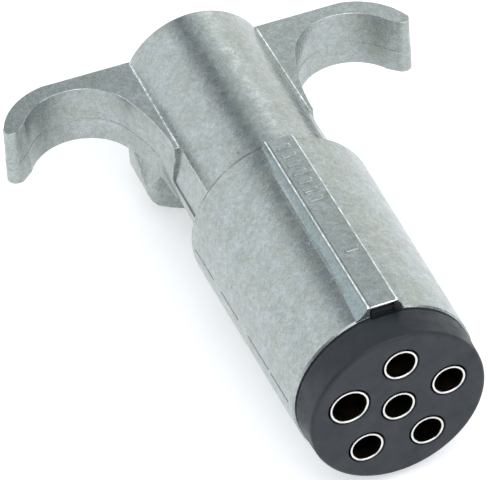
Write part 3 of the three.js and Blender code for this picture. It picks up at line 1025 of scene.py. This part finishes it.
class PLUG_OT_sockets(bpy.types.Operator):
    """Model the six socket terminals with their rolled lips, collars and wire barrels"""

    bl_idname = "plug.sockets"
    bl_label = "Sockets"

    def execute(self, context):
        for name in SOCKETS:
            self.socket(name)
        return {"FINISHED"}

    def socket(self, name):
        x, z, tube = socket_place(name)
        inner = tube - TUBE["wall"]
        piece = turned(f"socket_{name}", [
            (0, FACE + TUBE["depth"] + TUBE["cone"]), (inner, FACE + TUBE["depth"]),
            *self.rolled_lip(inner, tube), *self.collar(tube), *self.wire_barrel(),
        ], centre=(x, z), segments=64)
        self.drill(piece, name, x, z)
        shade(piece, 35)
        fit(piece, "plug_body", [f"terminal_{name}"], finish_of(plated_brass))
        self.darken(piece, x, z, inner)

    def rolled_lip(self, inner, outer):
        """The tube's mouth, rounded over from its inside to its outside."""
        return [
            (inner, FACE + 0.3), (inner + 0.02, FACE + 0.1), (inner + 0.08, FACE + 0.02),
            (inner + 0.14, FACE), (outer - 0.12, FACE), (outer - 0.04, FACE + 0.04), (outer, FACE + 0.14),
        ]

    def collar(self, tube):
        """The collar that stops the terminal against the core's back."""
        radius, start, end, edge = (COLLAR[size] for size in ("radius", "start", "end", "edge"))
        return [(tube, start), (radius - edge, start), (radius, start + edge), (radius, end - edge),
                (radius - edge, end)]

    def wire_barrel(self):
        """The drilled barrel that takes the wire's end."""
        radius, end, hole, edge = (WIRE_BARREL[size] for size in ("radius", "end", "hole", "edge"))
        floor = end - WIRE_BARREL["depth"]
        return [(radius, COLLAR["end"]), (radius, end - edge), (radius - edge, end), (hole + edge, end),
                (hole, end - edge), (hole, floor), (0, floor - 0.8)]

    def drill(self, piece, name, x, z):
        """The tapped hole for the binding screw, through the wire barrel's outer wall."""
        deselect()
        angle = socket_angle(name)
        direction = Vector((math.sin(angle), 0, math.cos(angle)))
        reach = (WIRE_BARREL["radius"] + 1) * MM
        centre = at(x, BINDING["y"], z) + direction * (reach / 2)
        radius = BINDING["hole"] * MM
        bpy.ops.mesh.primitive_cylinder_add(vertices=32, radius=radius, depth=reach, location=centre)
        tool = bpy.context.object
        tool.rotation_euler = direction.to_track_quat("Z", "Y").to_euler()
        cut(piece, settle(tool, "drill"))

    def darken(self, piece, x, z, inner):
        """Gives the inside of the tube its painted shade."""
        piece.data.materials.append(finish_of(socket_shade))
        middle, floor = at(x, 0, z), at(0, FACE + TUBE["depth"] + 2, 0).y
        wall = (inner + TUBE["skin"]) * MM
        for face in piece.data.polygons:
            out = Vector((face.center.x - middle.x, 0, face.center.z - middle.z)).length
            # painted shade deep inside the tube
            if out < wall and face.center.y < floor:
                face.material_index = 1


class PLUG_OT_binding_screws(bpy.types.Operator):
    """Model the slotted grub screws that hold the wires in the terminals"""

    bl_idname = "plug.binding_screws"
    bl_label = "Binding Screws"

    def execute(self, context):
        for name in SOCKETS:
            x, z, _ = socket_place(name)
            piece = self.grub(f"grub_{name}")
            turn = Matrix.Rotation(socket_angle(name), 4, "Y")
            to_place = Matrix.Translation(at(x, BINDING["y"], z))
            piece.matrix_world = to_place @ turn @ Matrix.Translation(-ORIGIN)
            settle(piece, f"grub_{name}")
            shade(piece, 30)
            fit(piece, f"binder_{name}", [f"binding_screw_{name}"], finish_of(screw_steel))
        return {"FINISHED"}

    def grub(self, name):
        """A slotted headless screw that stands upright on the plug's axis."""
        radius, tip, top = GRUB["radius"], GRUB["tip"], GRUB["top"]
        floor, half = GRUB["slot_floor"], GRUB["slot_width"] / 2
        threads = thread(radius, GRUB["threads"], floor)[:-1]
        piece = turned(name, [
            (0, tip), (radius / 2, tip), (radius - 0.2, GRUB["threads"]), *threads, (radius, top - 0.4),
            (radius, top - 0.15), (radius - 0.15, top), (0, top),
        ], along="Z", segments=32)
        return cut(piece, block("slot", (-half, -2, floor), (half, 2, top + 0.7)))


# ---- The cable clamp ----

CAP_SIDE = [(5.4, FOOT), (7.4, -15.9), (9.9, -14.6), (12.5, -13.4), (14.75, -12.1), (15.6, -11.2),
            (16.1, -9.9)]
CAP_CORNER = {"front": 2.0, "back": 0.8}
CAP_EDGE = 0.3
CAP_GAP = 0.06
CAP_SHOULDER = (13.4, 69.1, -4.65)  # a point on the right sloping shoulder, under the wing's edge
CAP_SLOPE = (0.826, -0.323, 0.461)  # the way that shoulder faces
PLAN_HEIGHT = 20
SADDLE = {"radius": 9.6, "mouth": 0.35, "mouth_depth": 0.4}


def cap_plan(low, high):
    """The clamp cap's outline from above, with its front corners rounder than its back ones."""
    corners = []
    for (x, y, key, start) in ((high.x, high.y, "back", 0), (low.x, high.y, "back", 1),
                               (low.x, low.y, "front", 2), (high.x, low.y, "front", 3)):
        radius = CAP_CORNER[key]
        middle = (x - math.copysign(radius, x), y - radius if key == "back" else y + radius)
        corners += arc({"centre": middle, "radius": radius, "start": start * math.pi / 2,
                        "end": (start + 1) * math.pi / 2, "steps": 6})
    return corners


def cap_blank():
    """The cap's solid form, with its sloping front shoulders."""
    low, high = measured("clamp_cap")
    half = [*CAP_SIDE, (CAP_SIDE[-1][0], high.z + 1)]
    section = half + [(-x, z) for x, z in reversed(half)]
    cap = prism("cast_cap", [at(x, low.y, z) for x, z in section], (0, (high.y - low.y) * MM, 0))
    plan = [at(x, y, FOOT - 1) for x, y in cap_plan(low, high)]
    combine(cap, prism("plan", plan, (0, 0, PLAN_HEIGHT * MM)), "INTERSECT")
    rounded(cap, CAP_EDGE)
    trim(cap, at(0, 0, WING_BOTTOM - CAP_GAP), (0, 0, 1))
    for side in (-1, 1):
        trim(cap, at(side * CAP_SHOULDER[0], *CAP_SHOULDER[1:]), (side * CAP_SLOPE[0], *CAP_SLOPE[1:]))
    return cap


def saddle():
    """The round seat for the cable's grommet, with wider mouths."""
    front, back = (corner.y for corner in measured("clamp_cap"))
    seat, depth = SADDLE["radius"], SADDLE["mouth_depth"]
    mouth = seat + SADDLE["mouth"]
    return turned("saddle", [
        (0, front - 1), (mouth, front - 1), (mouth, front), (seat, front + depth), (seat, back - depth),
        (mouth, back), (mouth, back + 1), (0, back + 1),
    ], segments=96)


def cap_hole(side):
    """A clamp screw's hole, with its spotface from below."""
    hole, spot = CLAMP_SCREW["radius"] + CLEARANCE, CLAMP_SCREW["head"] + CLEARANCE
    return turned("hole", [
        (0, BELOW), (spot, BELOW), (spot, SPOTFACE - 0.08), (spot - 0.08, SPOTFACE), (hole, SPOTFACE),
        (hole, 0), (0, 0),
    ], centre=(side * CLAMP_SCREW["x"], CLAMP_SCREW["y"]), along="Z", segments=48)


class PLUG_OT_clamp_cap(bpy.types.Operator):
    """Model the cable clamp's cast cap with its saddle and spotfaced screw holes"""

    bl_idname = "plug.clamp_cap"
    bl_label = "Clamp Cap"

    def execute(self, context):
        cap = cut(cap_blank(), saddle(), cap_hole(-1), cap_hole(1))
        shade(cap, 38)
        fit(cap, "clamp", ["clamp_cap"], finish_of(cast_zinc))
        return {"FINISHED"}


GROMMET = {"hole": 4.5, "beads": 6, "first": 2, "pitch": 3.4}
BEAD = [(0, 0), (0, 1.9), (-0.5, 2.2), (-0.5, 3.1)]  # a bead and the groove behind it, as steps


class PLUG_OT_grommet(bpy.types.Operator):
    """Model the soft ribbed grommet that grips the cable"""

    bl_idname = "plug.grommet"
    bl_label = "Cable Grommet"

    def execute(self, context):
        low, high = measured("cable_grommet")
        front, back = low.y, high.y
        hole, outer = GROMMET["hole"], high.x - 0.05
        beads = []
        for step in range(GROMMET["beads"]):
            y = front + GROMMET["first"] + step * GROMMET["pitch"]
            beads += around(BEAD, outer, y)
        piece = ring("ribbed_grommet", [
            (hole, front + 0.5), (hole + 0.5, front), (outer - 0.55, front), (outer, front + 0.6),
            *beads, (outer, back - 0.6), (outer - 0.55, back), (hole + 1.6, back),
            (hole + 1.3, back - 0.5), (hole + 0.6, back - 0.5), (hole, back - 1.1),
        ], segments=96)
        shade(piece, 35)
        fit(piece, "plug_body", ["cable_grommet"], finish_of(grommet_rubber))
        return {"FINISHED"}


class PLUG_OT_liner(bpy.types.Operator):
    """Give the insulating sleeve behind the core its fibre finish"""

    bl_idname = "plug.liner"
    bl_label = "Chamber Liner"

    def execute(self, context):
        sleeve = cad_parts["chamber_liner"]
        sleeve.data.materials.clear()
        sleeve.data.materials.append(finish_of(liner_fibre))
        return {"FINISHED"}


# ---- The stage ----

# The camera's target is in the plug's millimetres, its distance in metres and its angles in degrees.
VIEW = {"target": (-14.4, 23.1, 17.6), "azimuth": -18.96, "elevation": 42.28, "distance": 0.49,
        "roll": -3.71, "lens": 220.408, "sensor": 36}
SKY = {"colour": (0.42, 0.5, 0.56, 1), "strength": 0.42}
LIT_PLACE = (0, 40, 0)
FLOOR_SIZE = 6
LIGHTS = (
    # name, azimuth and elevation of where it stands, distance, width, height, power, colour
    ("left_panel", 227, 23, 1.0, 1.56, 0.84, 4.4, (0.98, 0.99, 0.99)),
    ("right_panel", 123, 18, 1.0, 1.15, 0.70, 2.7, (1.0, 0.985, 0.93)),
    ("back_panel", 156, 37, 1.0, 0.40, 0.50, 0.48, (0.97, 1.0, 0.98)),
    ("top_panel", 330, 84, 1.1, 1.2, 1.2, 4.2, (1.0, 1.0, 0.97)),
    ("front_panel", 14, 42, 1.2, 1.8, 1.4, 13.0, (0.98, 0.98, 1.0)),
)


def direction_of(azimuth, elevation):
    """A direction by azimuth, where 0 looks along +Y and 90 stands at +X, and elevation."""
    a, e = math.radians(azimuth), math.radians(elevation)
    return Vector((math.sin(a) * math.cos(e), -math.cos(a) * math.cos(e), math.sin(e)))


def aim(piece, target, back, distance):
    """Stands an object off from a target, looking at it."""
    piece.location = target + back * distance
    piece.rotation_euler = back.to_track_quat("Z", "Y").to_euler()


class PLUG_OT_stage(bpy.types.Operator):
    """Set the pale floor, the soft lights, the surroundings and the camera"""

    bl_idname = "plug.stage"
    bl_label = "Stage"

    def execute(self, context):
        self.floor()
        self.surroundings(context)
        for name, azimuth, elevation, distance, width, height, power, colour in LIGHTS:
            deselect()
            bpy.ops.object.light_add(type="AREA")
            light = context.object
            light.name = name
            light.data.shape = "RECTANGLE"
            light.data.size, light.data.size_y = width, height
            light.data.energy = power
            light.data.color = colour
            aim(light, at(*LIT_PLACE), direction_of(azimuth, elevation), distance)
        self.camera(context)
        return {"FINISHED"}

    def floor(self):
        deselect()
        bpy.ops.mesh.primitive_plane_add(size=FLOOR_SIZE, location=(0, 0, 0))
        floor = settle(bpy.context.object, "studio_floor")
        floor.data.materials.append(finish_of(floor_paper))

    def surroundings(self, context):
        world = bpy.data.worlds.new("studio_world")
        world.use_nodes = True
        background = world.node_tree.nodes["Background"]
        background.inputs["Color"].default_value = SKY["colour"]
        background.inputs["Strength"].default_value = SKY["strength"]
        context.scene.world = world
        context.scene.view_settings.view_transform = "Standard"

    def camera(self, context):
        deselect()
        bpy.ops.object.camera_add()
        camera = context.object
        camera.name = "studio_camera"
        camera.data.lens = VIEW["lens"]
        camera.data.sensor_width = VIEW["sensor"]
        back = direction_of(VIEW["azimuth"], VIEW["elevation"])
        aim(camera, at(*VIEW["target"]), back, VIEW["distance"])
        turn = camera.rotation_euler.to_matrix() @ Matrix.Rotation(math.radians(VIEW["roll"]), 3, "Z")
        camera.rotation_euler = turn.to_euler()
        camera.data.clip_start = 0.01
        context.scene.camera = camera


# ---- The add-on ----

BUILD_ORDER = (
    PLUG_OT_shell, PLUG_OT_core, PLUG_OT_sockets, PLUG_OT_binding_screws, PLUG_OT_retainer,
    PLUG_OT_clamp_cap, PLUG_OT_clamp_screws, PLUG_OT_grommet, PLUG_OT_liner, PLUG_OT_stage,
)


class VIEW3D_PT_plug(bpy.types.Panel):
    """Lists the plug's pieces and settings in the sidebar"""

    bl_idname = "VIEW3D_PT_plug"
    bl_label = "Trailer Plug"
    bl_space_type = "VIEW_3D"
    bl_region_type = "UI"
    bl_category = "Plug"

    def draw(self, context):
        for group in (context.scene.plug_sizes, context.scene.plug_colours):
            for name in group.__annotations__:
                self.layout.prop(group, name)
        for operator in BUILD_ORDER:
            self.layout.operator(operator.bl_idname)


CLASSES = (PlugSizes, PlugColours, *BUILD_ORDER, VIEW3D_PT_plug)


def register():
    for each in CLASSES:
        bpy.utils.register_class(each)
    bpy.types.Scene.plug_sizes = bpy.props.PointerProperty(type=PlugSizes)
    bpy.types.Scene.plug_colours = bpy.props.PointerProperty(type=PlugColours)


def unregister():
    del bpy.types.Scene.plug_colours
    del bpy.types.Scene.plug_sizes
    for each in reversed(CLASSES):
        bpy.utils.unregister_class(each)


def main():
    """Builds every piece and the stage."""
    register()
    for operator in BUILD_ORDER:
        group, name = operator.bl_idname.split(".")
        getattr(getattr(bpy.ops, group), name)()
    deselect()


if __name__ == "__main__":
    main()
